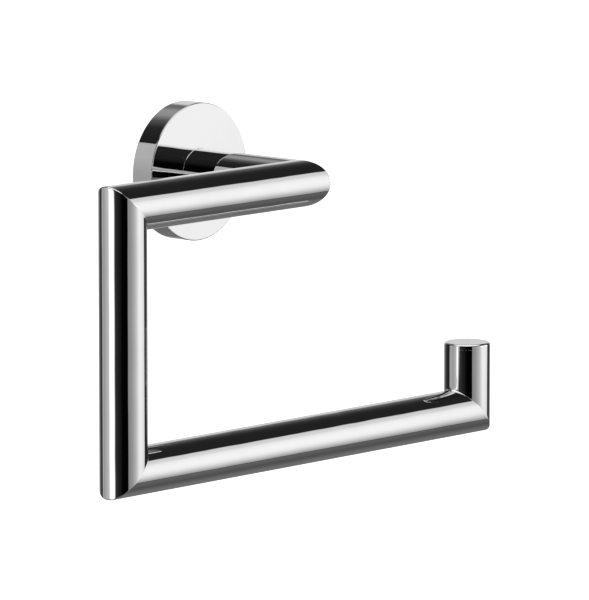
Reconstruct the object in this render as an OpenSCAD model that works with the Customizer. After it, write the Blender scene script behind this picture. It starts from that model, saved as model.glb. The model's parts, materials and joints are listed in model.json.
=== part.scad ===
// Wall-mounted paper roll holder: a round rosette on the wall, a stem out of it, and an arm of mitred
// round tube that runs sideways, drops, and comes back under itself to carry the roll.
// Frame: the origin is on the wall, at the rosette's centre. +X is to the right as one faces the wall,
// +Y goes into the wall, and +Z is up. All sizes are in millimetres.

/* [Tube] */
// Outer diameter of every tube
tube_d = 18; // [16:0.5:22]
// Wall thickness of every tube
tube_wall = 1.5; // [1:0.1:2]

/* [Arm] */
// From the wall to the arm's centre line
arm_reach = 61; // [48:0.5:90]
// From the stem's centre line sideways to the drop tube's
upper_arm_len = 95; // [60:0.5:140]
// From the upper arm's centre line down to the lower arm's
drop_len = 98.5; // [60:0.5:140]
// From the drop tube's centre line to the tip's
lower_arm_len = 192.5; // [120:0.5:300]
// From the lower arm's centre line up to the top of the tip
tip_len = 27; // [23:0.5:60]

/* [Rosette] */
// Outer diameter of the rosette
rosette_d = 53; // [48:0.5:75]
// How far the rosette stands out from the wall
rosette_t = 10; // [9:0.5:16]
// Thickness of the rosette's front face
rosette_face_t = 2.5; // [2:0.1:3.5]
// Thickness of the rosette's rim
rosette_rim_t = 4; // [3:0.1:4.5]
// Radius that takes the sharpness off the rosette's front and rear edges
rosette_edge_r = 0.4; // [0.2:0.1:0.8]

/* [End cap] */
// Thickness of the cap's flange
cap_t = 2; // [1.5:0.1:3]
// Radius of the flange's edge
cap_edge_r = 0.6; // [0.3:0.1:1]
// Length of the spigot inside the tip
cap_spigot_len = 6; // [4:0.5:8]

/* [Corner keys] */
// Length of a key's leg from the corner of the centre lines
key_leg = 17; // [14:0.5:22]
// Diameter of the hole along each leg, which saves metal and drains the tube
key_bore_d = 8; // [5:0.5:9]

/* [Stem fixing] */
// Thread diameter of the bolt that pulls the stem on to the rosette
bolt_d = 6; // [5:0.5:7]
// Length of the bolt under its head
bolt_len = 16; // [12:0.5:18]
// Size of the bolt's hexagon head across its flats
bolt_head_flats = 10; // [8:0.5:11]
// Height of the bolt's head
bolt_head_h = 3.6; // [2.5:0.1:4]
// Thickness of the spring washer under the head
lock_washer_t = 1.6; // [1:0.1:1.6]
// Radial width of the spring washer
lock_washer_w = 2.2; // [1.8:0.1:2.6]
// Thickness of the flat washer between the spring washer and the rosette
stem_washer_t = 1.2; // [0.8:0.1:1.6]
// Diameter of that flat washer
stem_washer_d = 12; // [11:0.1:12.5]
// Length of the tapped insert in the stem
insert_len = 14; // [12:0.5:18]
// Diameter of the pin that keeps the stem from turning
pin_d = 2.5; // [2:0.1:2.5]
// Depth of the pin in the insert
pin_depth = 5; // [4:0.5:8]

/* [Wall fixing] */
// Thickness of the wall plate
plate_t = 5; // [4.5:0.1:6]
// Diameter of the plate's centre hole, which clears the bolt's head
plate_hole_d = 15; // [14:0.5:16]
// Distance between the two wall screws
screw_spacing = 30; // [29:0.5:31]
// Length of the plate's slots from end to end
slot_len = 7; // [5:0.1:7]
// Depth of the pockets that take the screw heads
pocket_depth = 2; // [1.5:0.1:2.5]
// Thread diameter of the wall screws
screw_d = 4; // [3.5:0.1:4]
// Diameter of the wall screws' heads
screw_head_d = 7; // [6.5:0.1:7.2]
// Height of the wall screws' heads
screw_head_h = 2.2; // [1.8:0.1:2.6]
// How far the wall screws reach into the wall
screw_reach = 16; // [12:1:40]
// Diameter of the flat washers
washer_d = 8; // [7.5:0.1:8]
// Thickness of the flat washers
washer_t = 0.8; // [0.5:0.1:1]

/* [Set screw] */
// Thread diameter of the set screw
set_screw_d = 4; // [3:0.1:4]
// Size of its hexagon socket across the flats
set_socket_flats = 2; // [1.5:0.1:2]
// Depth of its hexagon socket
set_socket_depth = 2; // [1.5:0.1:2.5]
// How far its outer end sits below the rosette's side
set_screw_sunk = 0.5; // [0.3:0.1:0.8]

/* [Clearances] */
// Radial gap between the rosette's rim and the wall plate inside it
plate_gap = 0.4; // [0.3:0.1:0.6]
// Radial gap of what is pushed or screwed into a bore
fit_gap = 0.05; // [0.02:0.01:0.1]
// Radial gap of a screw or bolt through a plain hole
hole_gap = 0.3; // [0.2:0.1:0.4]
// Gap between the set screw's point and the plate's rim
point_gap = 0.1; // [0.05:0.01:0.2]
// Gap between the cap's spigot and the key inside the tip
key_to_cap_gap = 2; // [0.5:0.5:4]

/* [Hidden] */
$fn = 96;

tube_r = tube_d / 2;
bore_r = tube_r - tube_wall;
// Radius of what is pushed into a tube's bore
insert_r = bore_r - fit_gap;
stem_corner = [0, -arm_reach, 0];
upper_corner = stem_corner - [upper_arm_len, 0, 0];
lower_corner = upper_corner - [0, 0, drop_len];
end_corner = lower_corner + [lower_arm_len, 0, 0];
tip_tube_len = tip_len - cap_t;
tip_key_leg = tip_tube_len - cap_spigot_len - key_to_cap_gap;

rosette_r = rosette_d / 2;
cavity_r = rosette_r - rosette_rim_t;
cavity_depth = rosette_t - rosette_face_t;
lock_washer_seat = cavity_depth - stem_washer_t;
bolt_r = bolt_d / 2;
pin_r = pin_d / 2;
pin_offset = (bolt_r + insert_r) / 2;
// How far each end of the pin sits below the face round it
pin_sunk = 0.2;

plate_r = cavity_r - plate_gap;
screw_r = screw_d / 2;
screw_neck_r = screw_r - 0.4;
screw_tip_r = 0.2;
screw_head_top_r = screw_head_d / 2 - 1;
recess_w = 0.8;
recess_depth = 1.3;
slot_r = screw_r + hole_gap;
slot_travel = slot_len - 2 * slot_r;
pocket_r = washer_d / 2 + hole_gap;
washer_seat = plate_t - pocket_depth;
screw_seat = washer_seat + washer_t;
screw_point_len = screw_d;
set_screw_r = set_screw_d / 2;
set_point_len = 0.5;
set_point_r = set_screw_r - set_point_len;
set_screw_len = rosette_r - set_screw_sunk - plate_r - point_gap;
// The set screw's side lines up with the plate's front face
set_screw_y = plate_t - set_screw_r;
past = 1;
// A hexagon's circumscribed radius for each millimetre across its flats
hex_r_per_flat = 1 / sqrt(3);

// ---- Shared shapes ----

// Cuts off what lies beyond the mitre at the start of the Z axis, for a neighbour that leaves to the
// given side: the angle about Z from the X axis
module mitre_cut(reach, side) {
    rotate([0, 135, side])
        translate([-reach, -reach, 0])
            cube([2 * reach, 2 * reach, reach]);
}

// A round rod along Z. An end with a side angle is mitred for a neighbour on that side, and an end
// whose side is undef is square
module mitred_rod(r, len, start_side, end_side) {
    mitre_extra = 1.5 * r;
    cut_reach = 4 * r;
    start_extra = is_undef(start_side) ? 0 : mitre_extra;
    end_extra = is_undef(end_side) ? 0 : mitre_extra;
    difference() {
        translate([0, 0, -start_extra])
            cylinder(r = r, h = len + start_extra + end_extra);
        if (!is_undef(start_side))
            mitre_cut(cut_reach, start_side);
        if (!is_undef(end_side))
            translate([0, 0, len])
                mirror([0, 0, 1])
                    mitre_cut(cut_reach, end_side);
    }
}

// A tube along Z with its ends cut as mitred_rod's are
module mitred_tube(len, start_side, end_side) {
    difference() {
        mitred_rod(tube_r, len, start_side, end_side);
        translate([0, 0, -tube_d])
            cylinder(r = bore_r, h = len + 2 * tube_d);
    }
}

// One leg of a corner key along Z, mitred at the corner for the other leg
module key_leg_rod(len, side) {
    mitred_rod(insert_r, len, side);
}

// The hole along a leg, from the corner out through its end
module key_leg_bore(len) {
    cylinder(d = key_bore_d, h = len + past);
}

// A disc along Z whose two rims are rounded
module eased_disc_profile(r, t, edge_r) {
    square([r - edge_r, t]);
    translate([0, edge_r])
        square([r, t - 2 * edge_r]);
    translate([r - edge_r, edge_r])
        circle(r = edge_r);
    translate([r - edge_r, t - edge_r])
        circle(r = edge_r);
}

// Puts children made at the origin at the upper (+1) or lower (-1) wall screw
module at_wall_screw(sign) {
    translate([0, 0, sign * screw_spacing / 2])
        children();
}

// A slot with round ends, cut towards the viewer from the XZ plane and longer along Z
module upright_slot(r, travel, depth) {
    for (end = [-1, 1])
        translate([0, 0, end * travel / 2])
            rotate([90, 0, 0])
                cylinder(r = r, h = depth);
    translate([-r, -depth, -travel / 2])
        cube([2 * r, depth, travel]);
}

// ---- Wall fixing ----

module wall_screw(sign) {
    head_top = screw_seat + screw_head_h;
    dome_h = screw_head_h / 2;
    color("lightsteelblue")
        at_wall_screw(sign)
            rotate([-90, 0, 0])
                difference() {
                    union() {
                        translate([0, 0, -screw_seat])
                            cylinder(r = screw_neck_r, h = screw_seat);
                        cylinder(r = screw_r, h = screw_reach - screw_point_len);
                        translate([0, 0, screw_reach - screw_point_len])
                            cylinder(r1 = screw_r, r2 = screw_tip_r, h = screw_point_len);
                        translate([0, 0, dome_h - head_top])
                            cylinder(d = screw_head_d, h = screw_head_h - dome_h);
                        translate([0, 0, -head_top])
                            cylinder(r1 = screw_head_top_r, r2 = screw_head_d / 2, h = dome_h);
                    }
                    translate([0, 0, -head_top - past])
                        for (turn = [0, 90])
                            rotate(turn)
                                translate([-screw_r, -recess_w / 2, 0])
                                    cube([screw_d, recess_w, past + recess_depth]);
                }
}

module screw_washer(sign) {
    color("lightsteelblue")
        at_wall_screw(sign)
            translate([0, -washer_seat, 0])
                rotate([90, 0, 0])
                    difference() {
                        cylinder(d = washer_d, h = washer_t);
                        translate([0, 0, -past])
                            cylinder(r = screw_r + hole_gap / 2, h = washer_t + 2 * past);
                    }
}

module wall_plate() {
    color("silver")
        difference() {
            rotate([90, 0, 0])
                cylinder(r = plate_r, h = plate_t);
            translate([0, past, 0])
                rotate([90, 0, 0])
                    cylinder(d = plate_hole_d, h = plate_t + 2 * past);
            for (sign = [-1, 1])
                at_wall_screw(sign) {
                    translate([0, past, 0])
                        upright_slot(slot_r, slot_travel, plate_t + 2 * past);
                    translate([0, -washer_seat, 0])
                        upright_slot(pocket_r, slot_travel, pocket_depth + past);
                }
        }
}

// ---- Rosette and its fasteners ----

module rosette() {
    color("whitesmoke")
        difference() {
            rotate([90, 0, 0])
                rotate_extrude()
                    eased_disc_profile(rosette_r, rosette_t, rosette_edge_r);
            translate([0, past, 0])
                rotate([90, 0, 0])
                    cylinder(r = cavity_r, h = cavity_depth + past);
            rotate([90, 0, 0])
                cylinder(r = bolt_r + hole_gap, h = rosette_t + past);
            translate([0, 0, pin_offset])
                rotate([90, 0, 0])
                    cylinder(r = pin_r + fit_gap, h = rosette_t + past);
            translate([0, -set_screw_y, -rosette_r - past])
                cylinder(r = set_screw_r + fit_gap, h = rosette_r - plate_r + past);
        }
}

module set_screw() {
    color("dimgray")
        translate([0, -set_screw_y, -plate_r - point_gap])
            mirror([0, 0, 1])
                difference() {
                    union() {
                        cylinder(r1 = set_point_r, r2 = set_screw_r, h = set_point_len);
                        translate([0, 0, set_point_len])
                            cylinder(r = set_screw_r, h = set_screw_len - set_point_len);
                    }
                    translate([0, 0, set_screw_len - set_socket_depth])
                        cylinder(r = set_socket_flats * hex_r_per_flat, h = set_socket_depth + past, $fn = 6);
                }
}

module stem_bolt() {
    color("lightsteelblue")
        translate([0, -lock_washer_seat + lock_washer_t, 0])
            rotate([90, 0, 0]) {
                cylinder(r = bolt_r, h = bolt_len);
                translate([0, 0, -bolt_head_h])
                    cylinder(r = bolt_head_flats * hex_r_per_flat, h = bolt_head_h, $fn = 6);
            }
}

module stem_lock_washer() {
    inner_r = bolt_r + hole_gap / 2;
    outer_r = inner_r + lock_washer_w;
    split_w = lock_washer_t / 2;
    color("gray")
        translate([0, lock_washer_t - lock_washer_seat, 0])
            rotate([90, 0, 0])
                difference() {
                    cylinder(r = outer_r, h = lock_washer_t);
                    translate([0, 0, -past])
                        cylinder(r = inner_r, h = lock_washer_t + 2 * past);
                    translate([0, -split_w / 2, -past])
                        cube([outer_r + past, split_w, lock_washer_t + 2 * past]);
                }
}

module stem_washer() {
    color("lightsteelblue")
        translate([0, stem_washer_t - cavity_depth, 0])
            rotate([90, 0, 0])
                difference() {
                    cylinder(d = stem_washer_d, h = stem_washer_t);
                    translate([0, 0, -past])
                        cylinder(r = bolt_r + hole_gap / 2, h = stem_washer_t + 2 * past);
                }
}

module stem_insert() {
    color("goldenrod")
        translate([0, -rosette_t, 0])
            rotate([90, 0, 0])
                difference() {
                    cylinder(r = insert_r, h = insert_len);
                    translate([0, 0, -past])
                        cylinder(r = bolt_r + fit_gap, h = insert_len + 2 * past);
                    translate([0, pin_offset, -past])
                        cylinder(r = pin_r + fit_gap, h = pin_depth + past);
                }
}

module locating_pin() {
    color("gray")
        translate([0, -cavity_depth - pin_sunk, pin_offset])
            rotate([90, 0, 0])
                cylinder(r = pin_r, h = rosette_face_t + pin_depth - 2 * pin_sunk);
}

// ---- Tubes, from the wall to the tip ----

module stem_tube() {
    color("whitesmoke")
        translate([0, -rosette_t, 0])
            rotate([90, 0, 0])
                mitred_tube(arm_reach - rosette_t, undef, 180);
}

module upper_arm_tube() {
    color("whitesmoke")
        translate(stem_corner)
            rotate([0, -90, 0])
                mitred_tube(upper_arm_len, 90, 180);
}

module drop_tube() {
    color("whitesmoke")
        translate(upper_corner)
            rotate([180, 0, 0])
                mitred_tube(drop_len, 0, 0);
}

module lower_arm_tube() {
    color("whitesmoke")
        translate(lower_corner)
            rotate([0, 90, 0])
                mitred_tube(lower_arm_len, 180, 180);
}

module tip_tube() {
    color("whitesmoke")
        translate(end_corner)
            mitred_tube(tip_tube_len, 180);
}

module end_cap() {
    color("whitesmoke")
        translate(end_corner + [0, 0, tip_tube_len]) {
            rotate_extrude() {
                square([tube_r, cap_t - cap_edge_r]);
                square([tube_r - cap_edge_r, cap_t]);
                translate([tube_r - cap_edge_r, cap_t - cap_edge_r])
                    circle(r = cap_edge_r);
            }
            translate([0, 0, -cap_spigot_len])
                cylinder(r = insert_r, h = cap_spigot_len);
        }
}

// ---- Keys inside the mitred corners ----

// A key from two legs: each has its length, its turn from Z and the side its neighbour is on
module corner_key(corner, len_a, turn_a, side_a, len_b, turn_b, side_b) {
    color("darkgray")
        translate(corner)
            difference() {
                union() {
                    rotate(turn_a)
                        key_leg_rod(len_a, side_a);
                    rotate(turn_b)
                        key_leg_rod(len_b, side_b);
                }
                rotate(turn_a)
                    key_leg_bore(len_a);
                rotate(turn_b)
                    key_leg_bore(len_b);
            }
}

module corner_key_stem() {
    corner_key(stem_corner, key_leg, [-90, 0, 0], 180, key_leg, [0, -90, 0], 90);
}

module corner_key_upper() {
    corner_key(upper_corner, key_leg, [0, 90, 0], 0, key_leg, [180, 0, 0], 0);
}

module corner_key_lower() {
    corner_key(lower_corner, key_leg, [0, 0, 0], 0, key_leg, [0, 90, 0], 180);
}

module corner_key_end() {
    corner_key(end_corner, key_leg, [0, -90, 0], 0, tip_key_leg, [0, 0, 0], 180);
}

wall_screw(1);  // wall_screw_upper
wall_screw(-1);  // wall_screw_lower
screw_washer(1);  // screw_washer_upper
screw_washer(-1);  // screw_washer_lower
wall_plate();
rosette();
set_screw();
stem_bolt();
stem_lock_washer();
stem_washer();
stem_insert();
locating_pin();
stem_tube();
corner_key_stem();
upper_arm_tube();
corner_key_upper();
drop_tube();
corner_key_lower();
lower_arm_tube();
corner_key_end();
tip_tube();
end_cap();
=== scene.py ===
"""A wall-mounted paper roll holder in polished chrome: a rosette on the wall, a stem, and an arm of
mitred round tube, with the plate, screws and keys that hold it together."""
import json
import math

import bmesh
import bpy
from mathutils import Matrix, Vector


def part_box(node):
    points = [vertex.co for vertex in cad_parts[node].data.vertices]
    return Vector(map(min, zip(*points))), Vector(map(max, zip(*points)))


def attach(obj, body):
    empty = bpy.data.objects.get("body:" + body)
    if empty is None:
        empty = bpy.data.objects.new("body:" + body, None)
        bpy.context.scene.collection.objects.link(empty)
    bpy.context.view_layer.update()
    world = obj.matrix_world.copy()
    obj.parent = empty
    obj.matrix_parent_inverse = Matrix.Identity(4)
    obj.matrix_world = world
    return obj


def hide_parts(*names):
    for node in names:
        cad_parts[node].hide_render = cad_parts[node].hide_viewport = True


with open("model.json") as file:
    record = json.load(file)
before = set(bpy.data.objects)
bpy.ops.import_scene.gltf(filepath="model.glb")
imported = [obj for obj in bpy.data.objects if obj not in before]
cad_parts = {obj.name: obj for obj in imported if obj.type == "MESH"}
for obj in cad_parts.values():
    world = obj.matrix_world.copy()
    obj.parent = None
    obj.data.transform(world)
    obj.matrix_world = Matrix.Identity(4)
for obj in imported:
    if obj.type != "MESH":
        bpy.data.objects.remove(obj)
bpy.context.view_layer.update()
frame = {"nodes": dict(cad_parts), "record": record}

MM = 0.001
X, Y, Z = Vector((1, 0, 0)), Vector((0, 1, 0)), Vector((0, 0, 1))
NOWHERE = Vector((0, 0, 0))


# ---- Nodes, written as expressions ----

# Sockets of a Mix node: its numbers A and B, its colours A and B, and its mixed colour
NUMBER_A, NUMBER_B = 2, 3
COLOUR_A, COLOUR_B = 6, 7
MIXED_COLOUR = 2


class Wire:
    """An output of a node. Arithmetic on it adds Math nodes to its tree."""

    def __init__(self, graph, socket):
        self.graph = graph
        self.socket = socket

    def __add__(self, other):
        return self.graph.maths("ADD", self, other)

    __radd__ = __add__

    def __sub__(self, other):
        return self.graph.maths("SUBTRACT", self, other)

    def __rsub__(self, other):
        return self.graph.maths("SUBTRACT", other, self)

    def __mul__(self, other):
        return self.graph.maths("MULTIPLY", self, other)

    __rmul__ = __mul__

    def __truediv__(self, other):
        return self.graph.maths("DIVIDE", self, other)

    def __rtruediv__(self, other):
        return self.graph.maths("DIVIDE", other, self)


class Graph:
    """Writes nodes into one tree."""

    def __init__(self, tree):
        self.tree = tree

    def make(self, kind, settings=None, inputs=None, output=0):
        """Adds a node: its settings first, then the values or wires of its inputs. An input that takes
        several wires gets a list of them. Returns one of the node's outputs, if it has any."""
        node = self.tree.nodes.new(kind)
        for name, value in (settings or {}).items():
            if name == "stops":
                self.set_stops(node, value)
            else:
                setattr(node, name, value)
        for name, value in (inputs or {}).items():
            for each in value if isinstance(value, list) else [value]:
                if isinstance(each, Wire):
                    self.tree.links.new(each.socket, node.inputs[name])
                else:
                    node.inputs[name].default_value = each
        return Wire(self, node.outputs[output]) if len(node.outputs) else None

    @staticmethod
    def set_stops(node, stops):
        elements = node.color_ramp.elements
        while len(elements) < len(stops):
            elements.new(1.0)
        for element, (place, grey) in zip(elements, stops):
            element.position = place
            element.color = (grey, grey, grey, 1)

    def maths(self, operation, *values):
        return self.make("ShaderNodeMath", {"operation": operation}, dict(enumerate(values)))

    def part(self, vector, axis):
        """One of the X, Y and Z of a vector."""
        return self.make("ShaderNodeSeparateXYZ", {}, {0: vector}, axis)

    def rescale(self, value, low, high, to_low=0.0, to_high=1.0, smooth=False):
        kind = "SMOOTHSTEP" if smooth else "LINEAR"
        sockets = {"Value": value, "From Min": low, "From Max": high, "To Min": to_low, "To Max": to_high}
        return self.make("ShaderNodeMapRange", {"interpolation_type": kind}, sockets, "Result")

    def between(self, value, low, high, soft):
        """1 between two limits and 0 outside them, with soft borders."""
        starts = self.rescale(value, low - soft, low + soft, smooth=True)
        ends = self.rescale(value, high - soft, high + soft, 1.0, 0.0, smooth=True)
        return starts * ends

    def ramp(self, value, stops):
        """A grey for each value from 0 to 1, from a few (value, grey) pairs."""
        return self.make("ShaderNodeValToRGB", {"stops": stops}, {"Fac": value})

    def tones(self, value, low, high, stops):
        """A grey for each value in degrees, from a few (degrees, grey) pairs."""
        places = [((degrees - low) / (high - low), grey) for degrees, grey in stops]
        return self.ramp(self.rescale(value, low, high), places)


# ---- Finishes ----

def new_material(name):
    """A material with an empty Principled shader, its graph and its Object coordinates."""
    material = bpy.data.materials.new(name)
    material.use_nodes = True
    graph = Graph(material.node_tree)
    shader = material.node_tree.nodes["Principled BSDF"]
    place = graph.make("ShaderNodeTexCoord", output="Object")
    return material, graph, shader, place


def feed(graph, shader, **wires):
    for name, wire in wires.items():
        graph.tree.links.new(wire.socket, shader.inputs[name.replace("_", " ")])


def tinted(graph, dark, light, mask):
    """A colour between two colours by a mask."""
    sockets = {"Factor": mask, COLOUR_A: (*dark, 1), COLOUR_B: (*light, 1)}
    return graph.make("ShaderNodeMix", {"data_type": "RGBA"}, sockets, MIXED_COLOUR)


def noise(graph, place, scale, detail=4.0, roughness=0.55, squash=(1, 1, 1)):
    """Noise whose cells are about 1/scale metres across, longer along an axis with a small squash."""
    stretched = graph.make("ShaderNodeMapping", {}, {"Vector": place, "Scale": squash})
    sockets = {"Vector": stretched, "Scale": scale, "Detail": detail, "Roughness": roughness}
    return graph.make("ShaderNodeTexNoise", {}, sockets)


def scratches(graph, place, scale, squash, width):
    """Fine lines where a stretched noise crosses its middle value: 1 on a line and 0 off it."""
    field = noise(graph, place, scale, detail=2.0, roughness=0.5, squash=squash)
    off_line = graph.maths("ABSOLUTE", field - 0.5)
    return graph.rescale(off_line, 0.0, width, 1.0, 0.0)


def bumped(graph, shader, height, distance):
    sockets = {"Height": height, "Distance": distance, "Strength": 1.0}
    feed(graph, shader, Normal=graph.make("ShaderNodeBump", {}, sockets))


def polished_chrome():
    """Mirror plating: hairline polishing scratches, faint smears and a slight waviness."""
    material, graph, shader, place = new_material("polished_chrome")
    smears = graph.rescale(noise(graph, place, 45.0, detail=3.0), 0.45, 0.75)
    hairlines = scratches(graph, place, 260.0, squash=(1, 1, 0.12), width=0.006)
    crossing = scratches(graph, place, 310.0, squash=(0.1, 0.8, 1), width=0.005)
    lines = graph.maths("MAXIMUM", hairlines, crossing)
    worn = lines * graph.rescale(noise(graph, place, 60.0), 0.5, 0.7)
    clean_metal, dulled_metal = (0.93, 0.93, 0.93), (0.86, 0.86, 0.86)
    feed(graph, shader, Roughness=0.012 + smears * 0.022 + worn * 0.10)
    feed(graph, shader, Base_Color=tinted(graph, clean_metal, dulled_metal, smears * 0.5 + worn * 0.4))
    wave = noise(graph, place, 55.0, detail=1.0)
    bumped(graph, shader, wave - worn * 0.002, 0.00014)
    shader.inputs["Metallic"].default_value = 1.0
    return material


def cast_zinc():
    """Die-cast zinc: a matt grey skin with fine grain, flow marks and small pits."""
    material, graph, shader, place = new_material("cast_zinc")
    grain = noise(graph, place, 2600.0, detail=3.0)
    flow = noise(graph, place, 140.0, detail=5.0, roughness=0.6, squash=(1, 1, 0.4))
    pits = graph.rescale(noise(graph, place, 1700.0, detail=1.0), 0.68, 0.78)
    feed(graph, shader, Base_Color=tinted(graph, (0.42, 0.43, 0.44), (0.62, 0.63, 0.64), flow))
    feed(graph, shader, Roughness=0.38 + grain * 0.14 + pits * 0.25)
    bumped(graph, shader, grain * 0.3 + flow * 0.4 - pits * 1.2, 0.00004)
    shader.inputs["Metallic"].default_value = 0.9
    return material


def plated_steel():
    """Bright zinc plating on steel: a cool sheen, faint yellow clouds and tool marks."""
    material, graph, shader, place = new_material("zinc_plated_steel")
    clouds = graph.rescale(noise(graph, place, 420.0, detail=3.0), 0.35, 0.7)
    marks = scratches(graph, place, 1500.0, squash=(1, 0.25, 1), width=0.02)
    feed(graph, shader, Base_Color=tinted(graph, (0.60, 0.64, 0.70), (0.74, 0.73, 0.66), clouds))
    feed(graph, shader, Roughness=0.20 + clouds * 0.12 + marks * 0.2)
    bumped(graph, shader, clouds * 0.3 - marks * 0.6, 0.00002)
    shader.inputs["Metallic"].default_value = 1.0
    return material


def stainless_steel():
    """Machined stainless steel with fine turning lines."""
    material, graph, shader, place = new_material("stainless_steel")
    turned = noise(graph, place, 3000.0, detail=2.0, roughness=0.5, squash=(0.3, 1, 1))
    feed(graph, shader, Base_Color=tinted(graph, (0.40, 0.40, 0.41), (0.56, 0.56, 0.57), turned))
    feed(graph, shader, Roughness=0.24 + turned * 0.18)
    bumped(graph, shader, turned, 0.000015)
    shader.inputs["Metallic"].default_value = 1.0
    return material


def turned_brass():
    """Brass bar, turned: rings from the tool and a little tarnish."""
    material, graph, shader, place = new_material("turned_brass")
    rings = noise(graph, place, 4200.0, detail=2.0, roughness=0.5, squash=(0.05, 1, 0.05))
    tarnish = graph.rescale(noise(graph, place, 300.0), 0.4, 0.7)
    feed(graph, shader, Base_Color=tinted(graph, (0.83, 0.63, 0.30), (0.55, 0.38, 0.17), tarnish * 0.6))
    feed(graph, shader, Roughness=0.22 + tarnish * 0.2 + rings * 0.1)
    bumped(graph, shader, rings, 0.00002)
    shader.inputs["Metallic"].default_value = 1.0
    return material


finishes = {
    "polished_chrome": polished_chrome(),
    "cast_zinc": cast_zinc(),
    "zinc_plated_steel": plated_steel(),
    "stainless_steel": stainless_steel(),
    "turned_brass": turned_brass(),
}
slot_of_node = {part["node"]: part["material_slot"] for part in frame["record"]["subparts"]}
body_of_node = {
    node: body for body, nodes in frame["record"]["behaviour"]["bodies"].items() for node in nodes
}


# ---- Sizes, read from the frame ----

def middle(node):
    low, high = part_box(node)
    return (low + high) / 2


def extent(node):
    low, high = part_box(node)
    return high - low


# Radial gap of what is pushed into a bore
FIT_GAP = 0.05 * MM
tube_r = extent("drop_tube").x / 2
insert_r = extent("stem_insert").x / 2
bore_r = insert_r + FIT_GAP
rosette_r = extent("rosette").x / 2
rosette_t = extent("rosette").y
set_screw_r = extent("set_screw").x / 2
rosette_front = Vector((0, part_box("rosette")[0].y, 0))
stem_corner = Vector((0, middle("upper_arm_tube").y, 0))
upper_corner = Vector((middle("drop_tube").x, stem_corner.y, 0))
lower_corner = Vector((upper_corner.x, stem_corner.y, middle("lower_arm_tube").z))
end_corner = Vector((middle("tip_tube").x, stem_corner.y, lower_corner.z))
tip_tube_top = Vector((end_corner.x, end_corner.y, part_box("tip_tube")[1].z))


# ---- Meshes ----

# Steps round a tube or the rosette, round a piece with flats, round a screw and round a pin
TUBE_SEGMENTS = 256
FLATS_SEGMENTS = 96
SCREW_SEGMENTS = 64
PIN_SEGMENTS = 48
EDGE_STEPS = 6
# How far from an eased edge another ring keeps the surface beyond it flat or round
EDGE_HOLD = 0.25 * MM
# Points closer than this are one point
SAME_POINT = 1e-7
# An edge that turns by more than this is shaded sharp
SHARP_TURN = math.radians(35)


def clean(mesh):
    """Merges doubles, points the faces outwards, and shades smooth between sharp corners."""
    shape = bmesh.new()
    shape.from_mesh(mesh)
    bmesh.ops.remove_doubles(shape, verts=shape.verts, dist=SAME_POINT)
    bmesh.ops.recalc_face_normals(shape, faces=shape.faces)
    shape.to_mesh(mesh)
    shape.free()
    for face in mesh.polygons:
        face.use_smooth = True
    mesh.set_sharp_from_angle(angle=SHARP_TURN)
    return mesh


def new_object(name, mesh):
    piece = bpy.data.objects.new(name, mesh)
    bpy.context.scene.collection.objects.link(piece)
    return piece


def stand_for(node, name, mesh):
    """Puts a finished mesh in a CAD node's place, on its body and in its finish."""
    mesh.materials.clear()
    mesh.materials.append(finishes[slot_of_node[node]])
    piece = new_object(name, mesh)
    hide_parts(node)
    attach(piece, body_of_node[node])


def baked(piece):
    """The piece's mesh with its modifiers applied. The piece itself is removed."""
    bpy.context.view_layer.update()
    finished = piece.evaluated_get(bpy.context.evaluated_depsgraph_get())
    mesh = bpy.data.meshes.new_from_object(finished)
    bpy.data.objects.remove(piece)
    return mesh


def cut(mesh, cutters):
    """A closed mesh with closed cutters taken out of it."""
    body = new_object("body", mesh)
    tools = [new_object("cutter", cutter) for cutter in cutters]
    for tool in tools:
        difference = body.modifiers.new("cut", "BOOLEAN")
        difference.operation = "DIFFERENCE"
        difference.solver = "EXACT"
        difference.object = tool
    result = baked(body)
    for tool in tools:
        bpy.data.objects.remove(tool)
    return clean(result)


def skin(name, rings, joined=True):
    """A closed skin through rings of points. The last ring is joined to the first, unless both lie
    on the axis."""
    count = len(rings[0])
    points = [point for ring in rings for point in ring]
    faces = []
    for row in range(len(rings) if joined else len(rings) - 1):
        below, above = row * count, (row + 1) % len(rings) * count
        for i in range(count):
            j = (i + 1) % count
            faces.append((below + i, below + j, above + j, above + i))
    mesh = bpy.data.meshes.new(name)
    mesh.from_pydata(points, [], faces)
    return clean(mesh)


def round_the(axis, count):
    """Directions square to an axis, evenly spaced round it."""
    first = Z.cross(axis) if abs(axis.z) < 0.9 else X.cross(axis)
    first.normalize()
    second = axis.cross(first)
    turns = [math.tau * i / count for i in range(count)]
    return [first * math.cos(turn) + second * math.sin(turn) for turn in turns]


def lathed(name, profile, centre=NOWHERE, axis=Z, segments=TUBE_SEGMENTS):
    """A solid of (radius, distance along the axis) pairs. A radius may be a function of the turn in
    radians, for flats."""
    rings = []
    for radius, along in profile:
        ring = []
        for i, out in enumerate(round_the(axis, segments)):
            reach = radius(math.tau * i / segments) if callable(radius) else radius
            ring.append(centre + axis * along + out * reach)
        rings.append(ring)
    return skin(name, rings, joined=profile[0][0] != 0.0)


def eased_edge(radius, inset, hold_face=True):
    """(radius, distance in from the end) along a rounded edge, from the side to the end face. A
    holding ring lies just before the edge and, for a face that shows, just past it."""
    steps = [(radius, inset + EDGE_HOLD)]
    for step in range(EDGE_STEPS + 1):
        turn = math.pi / 2 * step / EDGE_STEPS
        steps.append((radius - inset * (1 - math.cos(turn)), inset * (1 - math.sin(turn))))
    if hold_face:
        steps.append((radius - inset - EDGE_HOLD, 0.0))
    return steps


# ---- The mitred tubes ----

# Width of the polished-over band on each side of a mitre, and how much wider it is at the proud
# corner outside the bend and in the fillet inside it. The powers keep both to their corners.
MITRE_BAND = 0.28 * MM
PROUD_EXTRA, PROUD_POWER = 0.8 * MM, 6
FILLET_EXTRA, FILLET_POWER = 1.0 * MM, 12
# Height of the flare where the stem stands on the rosette
FOOT_FLARE = 0.15 * MM
# Rounding of the tip's upper end, under its cap
SEAT_EDGE = 0.05 * MM


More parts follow.
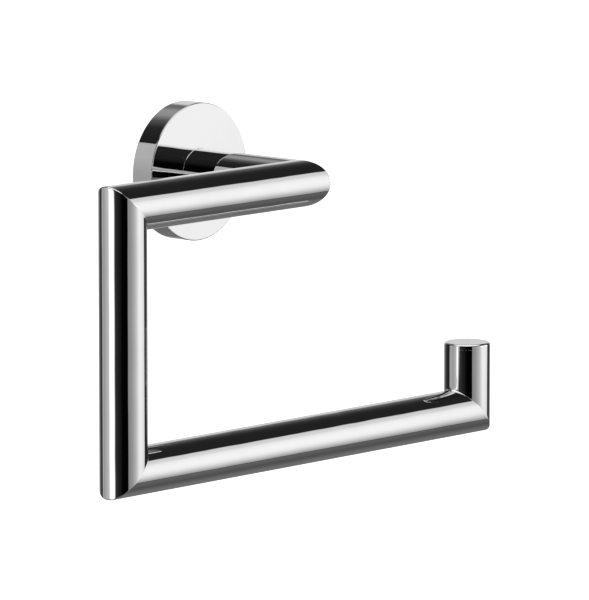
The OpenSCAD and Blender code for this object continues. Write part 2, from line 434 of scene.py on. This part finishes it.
def mitre_step(lean, step):
    """(radius, distance in from the mitre) of one ring near a mitre. The lean is the cosine between
    the ring's point and the neighbour's side. The band turns the surface halfway towards the
    neighbour's, so both meet in one smooth ridge outside the bend and in a fillet inside it."""
    proud = PROUD_EXTRA * max(0.0, -lean) ** PROUD_POWER
    fillet = FILLET_EXTRA * max(0.0, lean) ** FILLET_POWER
    band = MITRE_BAND + proud + fillet
    if step < 0:
        return tube_r, band + EDGE_HOLD
    inset = band * (1 - step / EDGE_STEPS)
    slope = abs(lean) / 2 / (1 - lean * lean / 2)
    slope /= 1 + abs(lean) * slope
    swell = math.copysign(slope * (band - inset) ** 2 / (2 * band), lean)
    return tube_r + swell, inset


def foot_step(step):
    """(radius, distance in from the rosette) of one ring of the stem's flared foot."""
    if step < 0:
        return tube_r, FOOT_FLARE + EDGE_HOLD
    inset = FOOT_FLARE * (1 - step / EDGE_STEPS)
    return tube_r + (FOOT_FLARE - inset) ** 2 / (2 * FOOT_FLARE), inset


def seat_step(step):
    """(radius, distance in from the end) of one ring of the tip's upper end."""
    return eased_edge(tube_r, SEAT_EDGE, hold_face=False)[step + 1]


def tube_end(corner, inward, neighbour, step_of_end):
    """The rings of one end of a tube, from its side to its end. The tube runs inward from its
    corner, and the neighbour leaves a mitred end in the given direction."""
    rings = []
    outs = round_the(inward if inward.dot(X + Y + Z) > 0 else -inward, TUBE_SEGMENTS)
    for step in range(-1, EDGE_STEPS + 1):
        ring = []
        for out in outs:
            lean = out.dot(neighbour)
            radius, inset = step_of_end(step) if step_of_end else mitre_step(lean, step)
            ring.append(corner + inward * (inset + radius * lean) + out * radius)
        rings.append(ring)
    rings.append([corner + inward * (bore_r * out.dot(neighbour)) + out * bore_r for out in outs])
    return rings


def mitred_tube(name, start, end, start_side, end_side, start_step=None, end_step=None):
    """A tube between two points. A side is the direction in which the next tube leaves a mitred
    end, and NOWHERE for a square end, which then has steps of its own."""
    inward = (end - start).normalized()
    first = tube_end(start, inward, start_side, start_step)
    last = tube_end(end, -inward, end_side, end_step)
    return skin(name, first[::-1] + last)


tube_runs = {
    "stem_tube": (rosette_front, stem_corner, NOWHERE, -X, foot_step),
    "upper_arm_tube": (stem_corner, upper_corner, Y, -Z),
    "drop_tube": (upper_corner, lower_corner, X, X),
    "lower_arm_tube": (lower_corner, end_corner, Z, Z),
    "tip_tube": (end_corner, tip_tube_top, -X, NOWHERE, None, seat_step),
}
for node, run in tube_runs.items():
    stand_for(node, "polished_" + node, mitred_tube(node + "_skin", *run))


# ---- The end cap ----

CAP_EDGE = 1.0 * MM


def end_cap():
    """A flange that covers the tip's end, with a spigot in its bore."""
    flange_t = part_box("end_cap")[1].z - tip_tube_top.z
    spigot_len = extent("end_cap").z - flange_t
    profile = [(0.0, -spigot_len), (insert_r, -spigot_len), (insert_r, 0.0)]
    profile += [(tube_r - SEAT_EDGE, 0.0), (tube_r, SEAT_EDGE)]
    profile += [(radius, flange_t - inset) for radius, inset in eased_edge(tube_r, CAP_EDGE)]
    profile += [(0.0, flange_t)]
    return lathed("end_cap_skin", profile, tip_tube_top)


stand_for("end_cap", "polished_end_cap", end_cap())


# ---- The rosette ----

ROSETTE_EDGE = 0.45 * MM
# Rounding of the edge of the cavity behind the face
CAVITY_EDGE = 0.3 * MM
PLATE_GAP = 0.4 * MM
HOLE_GAP = 0.3 * MM
# How far a cutter runs past what it cuts
PAST = 1 * MM
BOLT_R = 3 * MM


def rosette():
    """A cup with its face to the room: holes for the bolt and the pin, and one below for the set
    screw."""
    cavity_r = extent("wall_plate").x / 2 + PLATE_GAP
    cavity_depth = -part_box("stem_washer")[0].y
    hole_r = BOLT_R + HOLE_GAP
    edge = eased_edge(rosette_r, ROSETTE_EDGE)
    profile = [(hole_r, rosette_t)]
    profile += [(radius, rosette_t - inset) for radius, inset in edge][::-1] + edge
    profile += [(cavity_r + CAVITY_EDGE, 0.0), (cavity_r, CAVITY_EDGE)]
    profile += [(cavity_r, cavity_depth), (hole_r, cavity_depth)]
    solid = lathed("rosette_skin", profile, axis=-Y)
    pin_r = extent("locating_pin").x / 2 + FIT_GAP
    pin_at = Vector((0, 0, middle("locating_pin").z))
    tapped_r = set_screw_r + FIT_GAP
    tapped_at = Vector((0, middle("set_screw").y, 0))
    pin_hole = [(0.0, 0.0), (pin_r, 0.0), (pin_r, rosette_t + PAST), (0.0, rosette_t + PAST)]
    tapped = [(0.0, cavity_r - PAST), (tapped_r, cavity_r - PAST)]
    tapped += [(tapped_r, rosette_r + PAST), (0.0, rosette_r + PAST)]
    cutters = [
        lathed("pin_hole", pin_hole, pin_at, -Y, PIN_SEGMENTS),
        lathed("tapped_hole", tapped, tapped_at, -Z, SCREW_SEGMENTS),
    ]
    return cut(solid, cutters)


stand_for("rosette", "polished_rosette", rosette())


# ---- Screws ----

# Half the width of a thread's ridge at its root, over its pitch
RIDGE_SHARE = 0.42
THREAD_STEPS = 32
# Size of the ridge where the thread starts and ends, over its full size
RUN_OUT_SIZE = 0.05


def screw_thread():
    """A tree that winds a tapering ridge round a screw made along Z, and joins it to the screw."""
    tree = bpy.data.node_groups.new("screw_thread", "GeometryNodeTree")
    graph = Graph(tree)
    tree.interface.new_socket("Screw", in_out="INPUT", socket_type="NodeSocketGeometry")
    for name in ("Crest Radius", "Depth", "Pitch", "Start", "Length"):
        tree.interface.new_socket(name, in_out="INPUT", socket_type="NodeSocketFloat")
    tree.interface.new_socket("Finish", in_out="INPUT", socket_type="NodeSocketMaterial")
    tree.interface.new_socket("Screw", in_out="OUTPUT", socket_type="NodeSocketGeometry")
    given = graph.make("NodeGroupInput").socket.node.outputs
    # The last output is only a place for a new one
    screw, crest_r, depth, pitch, start, length, finish = [Wire(graph, socket) for socket in given[:-1]]
    root_r = crest_r - depth
    turns = length / pitch
    sockets = {"Resolution": THREAD_STEPS, "Rotations": turns, "Height": length}
    sockets |= {"Start Radius": root_r, "End Radius": root_r}
    helix = graph.make("GeometryNodeCurveSpiral", {}, sockets)
    helix = graph.make("GeometryNodeSetCurveNormal", {"mode": "Z_UP"}, {"Curve": helix})
    so_far = graph.make("GeometryNodeSplineParameter", output="Factor") * turns
    nearest_end = graph.maths("MINIMUM", so_far, turns - so_far)
    run_out = graph.maths("MINIMUM", nearest_end + RUN_OUT_SIZE, 1.0)
    half_width = pitch * RIDGE_SHARE
    sockets = {"Width": depth * 2, "Bottom Height": half_width, "Top Height": half_width}
    ridge = graph.make("GeometryNodeCurvePrimitiveQuadrilateral", {"mode": "KITE"}, sockets)
    sockets = {"Curve": helix, "Profile Curve": ridge, "Scale": run_out, "Fill Caps": True}
    thread = graph.make("GeometryNodeCurveToMesh", {}, sockets)
    offset = graph.make("ShaderNodeCombineXYZ", {}, {"Z": start})
    thread = graph.make("GeometryNodeTransform", {}, {"Geometry": thread, "Translation": offset})
    whole = graph.make("GeometryNodeJoinGeometry", {}, {"Geometry": [thread, screw]})
    whole = graph.make("GeometryNodeRealizeInstances", {}, {"Geometry": whole})
    whole = graph.make("GeometryNodeSetMaterial", {}, {"Geometry": whole, "Material": finish})
    graph.make("NodeGroupOutput", {}, {"Screw": whole})
    return tree


thread_tree = screw_thread()


def threaded(node, mesh, place, **sizes):
    """Winds a thread on a screw made along Z, then takes the screw to its place."""
    screw = new_object("screw", mesh)
    winding = screw.modifiers.new("thread", "NODES")
    winding.node_group = thread_tree
    values = {name.replace("_", " ").title(): value for name, value in sizes.items()}
    values["Finish"] = finishes[slot_of_node[node]]
    for item in thread_tree.interface.items_tree:
        if item.in_out == "INPUT" and item.name in values:
            winding[item.identifier] = values[item.name]
    result = baked(screw)
    result.transform(place)
    return clean(result)


def hexagon(flats):
    """The radius of a hexagon as a function of the turn."""
    sector = math.pi / 3
    return lambda turn: flats / 2 / math.cos(turn % sector - sector / 2)


def chamfered_hexagon(flats, limit):
    """The same, with its corners turned down to a limit."""
    side = hexagon(flats)
    return lambda turn: min(side(turn), limit)


def facing(axis, at):
    """Takes a shape made along Z to a place on another axis."""
    return Matrix.Translation(at) @ axis.to_track_quat("Z", "X").to_matrix().to_4x4()


def bar(name, corner, far_corner):
    """A closed box between two corners."""
    shape = bmesh.new()
    bmesh.ops.create_cube(shape, size=1.0)
    size = far_corner - corner
    bmesh.ops.scale(shape, vec=size, verts=shape.verts)
    bmesh.ops.translate(shape, vec=corner + size / 2, verts=shape.verts)
    mesh = bpy.data.meshes.new(name)
    shape.to_mesh(mesh)
    shape.free()
    return mesh


WALL_THREAD_R = 2 * MM
WALL_THREAD_DEPTH = 0.45 * MM
WALL_THREAD_PITCH = 1.6 * MM
WALL_POINT_LEN = 4 * MM
WALL_POINT_R = 0.2 * MM
HEAD_EASE = 0.15 * MM
DOME_STEPS = 8
RECESS_W = 0.8 * MM
RECESS_DEPTH = 1.3 * MM


def wall_screw(node):
    """A domed head with a cross recess, a neck, and a coarse thread that runs to a point."""
    low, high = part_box(node)
    head_r = (high.x - low.x) / 2
    head_top, head_seat, reach = low.y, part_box("screw_washer_upper")[0].y, high.y
    dome_h = (head_seat - head_top) / 2
    neck_r = WALL_THREAD_R - WALL_THREAD_DEPTH
    profile = []
    for step in range(DOME_STEPS + 1):
        turn = math.pi / 2 * step / DOME_STEPS
        profile.append((head_r * math.sin(turn), head_top + dome_h * (1 - math.cos(turn))))
    profile += [(head_r, head_seat - HEAD_EASE), (head_r - HEAD_EASE, head_seat), (neck_r, head_seat)]
    profile += [(neck_r, reach - WALL_POINT_LEN), (WALL_POINT_R, reach), (0.0, reach)]
    solid = lathed("screw_skin", profile, segments=SCREW_SEGMENTS)
    arm, half_w = WALL_THREAD_R, RECESS_W / 2
    floor, top = head_top + RECESS_DEPTH, head_top - PAST
    cross = [
        bar("recess", Vector((-arm, -half_w, top)), Vector((arm, half_w, floor))),
        bar("recess", Vector((-half_w, -arm, top)), Vector((half_w, arm, floor))),
    ]
    return threaded(
        node, cut(solid, cross), facing(Y, Vector((0, 0, middle(node).z))),
        crest_radius=WALL_THREAD_R, depth=WALL_THREAD_DEPTH, pitch=WALL_THREAD_PITCH,
        start=WALL_THREAD_PITCH / 2, length=reach - WALL_POINT_LEN - WALL_THREAD_PITCH,
    )


BOLT_HEAD_H = 3.6 * MM
BOLT_THREAD_DEPTH = 0.55 * MM
BOLT_PITCH = 1 * MM
BOLT_CHAMFER = 0.35 * MM
# The head's flat face and the first steps of its chamfer: radius over the width across flats, and
# distance in from the face
BOLT_FACE_SHARE = 0.46
BOLT_CHAMFER_STEPS = [(0.485, 0.0), (0.5, 0.1 * MM)]


def stem_bolt():
    """A hexagon head with its corners turned off, and a thread up to the end."""
    low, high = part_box("stem_bolt")
    length = high.y - low.y
    flats = high.z - low.z
    corner_r = flats / math.sqrt(3)
    core_r = BOLT_R - BOLT_THREAD_DEPTH
    profile = [(0.0, 0.0), (flats * BOLT_FACE_SHARE, 0.0)]
    for share, inset in BOLT_CHAMFER_STEPS:
        profile.append((chamfered_hexagon(flats, flats * share), inset))
    profile += [(chamfered_hexagon(flats, corner_r), BOLT_CHAMFER)]
    profile += [(hexagon(flats), BOLT_HEAD_H), (core_r, BOLT_HEAD_H)]
    profile += [(core_r, length - BOLT_CHAMFER), (core_r - BOLT_CHAMFER, length), (0.0, length)]
    return threaded(
        "stem_bolt", lathed("bolt_skin", profile, segments=FLATS_SEGMENTS),
        facing(-Y, Vector((0, high.y, 0))),
        crest_radius=BOLT_R, depth=BOLT_THREAD_DEPTH, pitch=BOLT_PITCH,
        start=BOLT_HEAD_H + BOLT_PITCH / 2, length=length - BOLT_HEAD_H - BOLT_PITCH,
    )


SET_SCREW_THREAD_DEPTH = 0.35 * MM
SET_SCREW_PITCH = 0.7 * MM
SET_SCREW_CHAMFER = 0.3 * MM
SOCKET_FLATS = 2 * MM
SOCKET_DEPTH = 2 * MM


def set_screw():
    """A headless screw: a flat point, a thread, and a hexagon socket in its outer end."""
    low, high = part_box("set_screw")
    length = high.z - low.z
    core_r = set_screw_r - SET_SCREW_THREAD_DEPTH
    point_r, rim_r = core_r - SET_SCREW_CHAMFER, core_r - SET_SCREW_CHAMFER / 2
    socket = hexagon(SOCKET_FLATS)
    profile = [(0.0, 0.0), (point_r, 0.0)]
    profile += [(core_r, SET_SCREW_CHAMFER), (core_r, length - SET_SCREW_CHAMFER)]
    profile += [(rim_r, length), (socket, length), (socket, length - SOCKET_DEPTH)]
    profile += [(0.0, length - SOCKET_DEPTH)]
    return threaded(
        "set_screw", lathed("set_screw_skin", profile, segments=FLATS_SEGMENTS),
        facing(-Z, Vector((0, middle("set_screw").y, high.z))),
        crest_radius=set_screw_r, depth=SET_SCREW_THREAD_DEPTH, pitch=SET_SCREW_PITCH,
        start=SET_SCREW_PITCH / 2, length=length - SET_SCREW_PITCH,
    )


for node in ("wall_screw_upper", "wall_screw_lower"):
    stand_for(node, "threaded_" + node, wall_screw(node))
stand_for("stem_bolt", "threaded_stem_bolt", stem_bolt())
stand_for("set_screw", "threaded_set_screw", set_screw())


# ---- Plate, washers, keys, insert and pin ----

# Points of a CAD node closer than this are one point
CAD_SAME_POINT = 1e-6
# A CAD edge that turns by less than the first is dissolved, and by more than the second is eased
STRAIGHT_TURN = math.radians(1)
CORNER_TURN = math.radians(40)


def eased_copy(node, width):
    """A CAD node's own shape with the sharpness taken off its edges."""
    shape = bmesh.new()
    shape.from_mesh(frame["nodes"][node].data)
    bmesh.ops.remove_doubles(shape, verts=shape.verts, dist=CAD_SAME_POINT)
    bmesh.ops.dissolve_limit(shape, angle_limit=STRAIGHT_TURN, verts=shape.verts, edges=shape.edges)
    corners = [edge for edge in shape.edges if edge.calc_face_angle(0.0) > CORNER_TURN]
    bmesh.ops.bevel(
        shape, geom=corners, offset=width, offset_type="OFFSET", segments=2, profile=0.5,
        affect="EDGES", clamp_overlap=True,
    )
    mesh = bpy.data.meshes.new(node + "_skin")
    shape.to_mesh(mesh)
    shape.free()
    piece = new_object("eased", clean(mesh))
    flatten = piece.modifiers.new("keep_faces_flat", "WEIGHTED_NORMAL")
    flatten.keep_sharp = True
    return baked(piece)


edge_widths = {
    "wall_plate": 0.3 * MM,
    "screw_washer_upper": 0.12 * MM,
    "screw_washer_lower": 0.12 * MM,
    "stem_washer": 0.15 * MM,
    "stem_lock_washer": 0.1 * MM,
    "stem_insert": 0.25 * MM,
    "locating_pin": 0.2 * MM,
    "corner_key_stem": 0.3 * MM,
    "corner_key_upper": 0.3 * MM,
    "corner_key_lower": 0.3 * MM,
    "corner_key_end": 0.3 * MM,
}
for node, width in edge_widths.items():
    stand_for(node, "eased_" + node, eased_copy(node, width))


# ---- Studio ----

# Bearings and rises of the room are in degrees. Bearing 0 is in front of the holder, straight out
# from the wall, and 90 is to its right. A rise is upwards from the horizon.
DEGREES = 180 / math.pi
BACKDROP_STRENGTH = 1.05
STRIP_STRENGTH = 1.1


def right_light(graph, bearing, rise):
    """A large soft light in front and to the right, with three brighter lamps in it."""
    across = graph.tones(bearing, -24, 72, [
        (-22, 0.26), (-12, 0.28), (-2, 0.35), (8, 0.45), (15, 0.54), (21, 0.64), (27, 0.79),
        (33, 0.93), (40, 0.98), (52, 0.95), (60, 0.88), (68, 0.78),
    ])
    upwards = graph.tones(rise, -30, 34, [
        (-27, 0.42), (-20, 0.65), (-13, 0.86), (-7, 0.955), (3, 1.0), (12, 0.97), (18, 0.92),
        (24, 0.74), (34, 0.70),
    ])
    lamps = graph.between(bearing, 22, 34, 4.0) * graph.between(rise, -2, 12, 3.0)
    lamps = lamps + graph.between(bearing, 58, 70, 3.0) * graph.between(rise, -2, 12, 3.0)
    lamps = lamps + graph.between(bearing, 58, 70, 3.0) * graph.between(rise, -21, -14, 2.0)
    frame_of_light = graph.between(bearing, -23, 72.5, 1.5) * graph.between(rise, -29.5, 32.5, 1.2)
    return frame_of_light * across * upwards * (lamps + 1)


def back_wall(graph, round_back, rise):
    """A pale wall behind the holder, brightest at its horizon."""
    upwards = graph.tones(rise, -40, 50, [
        (-34, 0.03), (-28, 0.12), (-24, 0.26), (-10, 0.52), (8, 0.67), (18, 0.64), (22, 0.56),
        (26, 0.16), (34, 0.07), (42, 0.015), (50, 0.0),
    ])
    sideways = graph.tones(round_back, 86, 186, [
        (86, 0.0), (101, 0.25), (121, 0.85), (136, 1.0), (151, 0.9), (166, 0.3), (186, 0.0),
    ])
    return upwards * sideways


def ground(graph, round_back, rise):
    """A faint glow from below."""
    glow = graph.tones(round_back, 40, 150, [
        (50, 0.13), (62, 0.10), (78, 0.065), (106, 0.125), (120, 0.13), (150, 0.11),
    ])
    return graph.rescale(rise, -33, -28, 1.0, 0.0, smooth=True) * glow


def dark_side(graph, bearing, rise):
    """What is left of the room in front, to the left and above: almost black."""
    sides = graph.tones(bearing, -180, -18, [
        (-178, 0.03), (-165, 0.022), (-150, 0.014), (-100, 0.014), (-89, 0.045), (-80, 0.028),
        (-70, 0.014), (-60, 0.009), (-50, 0.001), (-24, 0.001), (-19, 0.016),
    ])
    ceiling = graph.rescale(rise, 20, 40, 0.0, 0.013, smooth=True)
    return graph.maths("MAXIMUM", sides, ceiling)


def skylight(graph, round_back, rise):
    """A soft patch high up behind, which the rosette's rim reflects."""
    patch = graph.tones(round_back, 130, 200, [
        (136, 0.0), (141, 0.05), (146, 0.16), (150, 0.23), (156, 0.27), (162, 0.25), (168, 0.17),
        (174, 0.09), (182, 0.035), (192, 0.0),
    ])
    return patch * graph.rescale(rise, 26, 38, smooth=True)


def room():
    """The room that the chrome reflects. The camera itself sees plain white."""
    world = bpy.data.worlds.new("studio")
    bpy.context.scene.world = world
    world.use_nodes = True
    world.node_tree.nodes.clear()
    graph = Graph(world.node_tree)
    toward = graph.make("ShaderNodeTexCoord", output="Generated")
    rise = graph.maths("ARCSINE", graph.part(toward, "Z")) * DEGREES
    forward = graph.part(toward, "Y") * -1
    bearing = graph.maths("ARCTAN2", graph.part(toward, "X"), forward) * DEGREES
    # The bearing from -90 to 270, which runs on without a break behind the holder
    round_back = graph.maths("WRAP", bearing, 270.0, -90.0)
    strip = graph.between(bearing, -117, -87.5, 3.0) * graph.between(rise, -60, 40, 4.0)
    overhead = graph.rescale(rise, 50, 58, smooth=True)
    total = right_light(graph, bearing, rise) + strip * STRIP_STRENGTH
    total = total + back_wall(graph, round_back, rise) + ground(graph, round_back, rise)
    total = total + dark_side(graph, bearing, rise) + overhead + skylight(graph, round_back, rise)
    seen = graph.make("ShaderNodeLightPath", output="Is Camera Ray")
    sockets = {"Factor": seen, NUMBER_A: total, NUMBER_B: BACKDROP_STRENGTH}
    strength = graph.make("ShaderNodeMix", {"data_type": "FLOAT"}, sockets)
    glow = graph.make("ShaderNodeBackground", {}, {"Color": (1, 1, 1, 1), "Strength": strength})
    graph.make("ShaderNodeOutputWorld", {}, {"Surface": glow})


def card(name, corners, along_stops, up_stops, strength):
    """A glowing card, seen only in reflections. Its brightness is one ramp along its first side times
    another up its second side, times its strength."""
    mesh = bpy.data.meshes.new(name)
    mesh.from_pydata(corners, [], [(0, 1, 2, 3)])
    uv = mesh.uv_layers.new(name="on_card")
    for loop, place in zip(uv.data, [(0, 0), (1, 0), (1, 1), (0, 1)]):
        loop.uv = place
    material = bpy.data.materials.new(name)
    material.use_nodes = True
    material.node_tree.nodes.clear()
    graph = Graph(material.node_tree)
    place = graph.make("ShaderNodeUVMap", {"uv_map": "on_card"})
    along = graph.ramp(graph.part(place, "X"), along_stops)
    up = graph.ramp(graph.part(place, "Y"), up_stops)
    settings = {"data_type": "RGBA", "blend_type": "MULTIPLY"}
    sockets = {"Factor": 1.0, COLOUR_A: along, COLOUR_B: up}
    tone = graph.make("ShaderNodeMix", settings, sockets, MIXED_COLOUR)
    glow = graph.make("ShaderNodeEmission", {}, {"Color": tone, "Strength": strength})
    graph.make("ShaderNodeOutputMaterial", {}, {"Surface": glow})
    mesh.materials.append(material)
    piece = new_object(name, mesh)
    piece.visible_camera = False
    piece.visible_shadow = False


# The left card stands nearly square to the wall
LEFT_BACK = Vector((-0.2544, 0.4608, 0))
LEFT_FRONT = Vector((-0.237, 0.007, 0))
LEFT_BOTTOM, LEFT_TOP = -0.45 * Z, 0.26 * Z
LEFT_STRENGTH = 1.26
LEFT_ALONG = [
    (0.0, 0.30), (0.2, 0.33), (0.4, 0.42), (0.5, 0.36), (0.68, 0.325), (0.78, 0.38), (0.86, 0.43),
    (0.96, 0.50), (1.0, 0.55),
]
LEFT_UP = [
    (0.59, 0.794), (0.635, 0.83), (0.676, 0.89), (0.724, 0.95), (0.775, 1.0), (0.83, 0.97),
    (0.91, 0.88),
]
FLOOR_DROP = 1.2
FLOOR_HALF = 8


def pale_floor():
    """A floor so far below that it doesn't hide the holder from any side. The chrome doesn't see it."""
    corners = [(-1, -1), (1, -1), (1, 1), (-1, 1)]
    mesh = bpy.data.meshes.new("floor")
    mesh.from_pydata([(x * FLOOR_HALF, y * FLOOR_HALF, -FLOOR_DROP) for x, y in corners], [], [(0, 1, 2, 3)])
    material = bpy.data.materials.new("pale_floor")
    material.use_nodes = True
    shader = material.node_tree.nodes["Principled BSDF"]
    shader.inputs["Base Color"].default_value = (0.9, 0.9, 0.9, 1)
    shader.inputs["Roughness"].default_value = 0.9
    shader.inputs["Emission Color"].default_value = (1, 1, 1, 1)
    shader.inputs["Emission Strength"].default_value = 0.95
    mesh.materials.append(material)
    floor = new_object("floor", mesh)
    floor.visible_glossy = False
    floor.visible_diffuse = False


room()
left_corners = [
    LEFT_BACK + LEFT_BOTTOM, LEFT_FRONT + LEFT_BOTTOM, LEFT_FRONT + LEFT_TOP, LEFT_BACK + LEFT_TOP,
]
card("left_card", left_corners, LEFT_ALONG, LEFT_UP, LEFT_STRENGTH)
pale_floor()
bpy.context.scene.view_settings.view_transform = "Standard"


# ---- Camera ----

CAMERA_AZIMUTH = math.radians(-47.48)
CAMERA_RISE = math.radians(8.52)
CAMERA_DISTANCE = 2.5609
CAMERA_AIM = Vector((0.02409, -0.03723, -0.04943))
# In millimetres
CAMERA_LENS = 401.3
CAMERA_SENSOR = 36


def camera():
    data = bpy.data.cameras.new("camera")
    data.lens = CAMERA_LENS
    data.sensor_width = CAMERA_SENSOR
    back = Vector((
        math.sin(CAMERA_AZIMUTH) * math.cos(CAMERA_RISE),
        -math.cos(CAMERA_AZIMUTH) * math.cos(CAMERA_RISE),
        math.sin(CAMERA_RISE),
    ))
    viewer = new_object("camera", data)
    viewer.location = CAMERA_AIM + back * CAMERA_DISTANCE
    viewer.rotation_euler = (-back).to_track_quat("-Z", "Y").to_euler()
    bpy.context.scene.camera = viewer


camera()
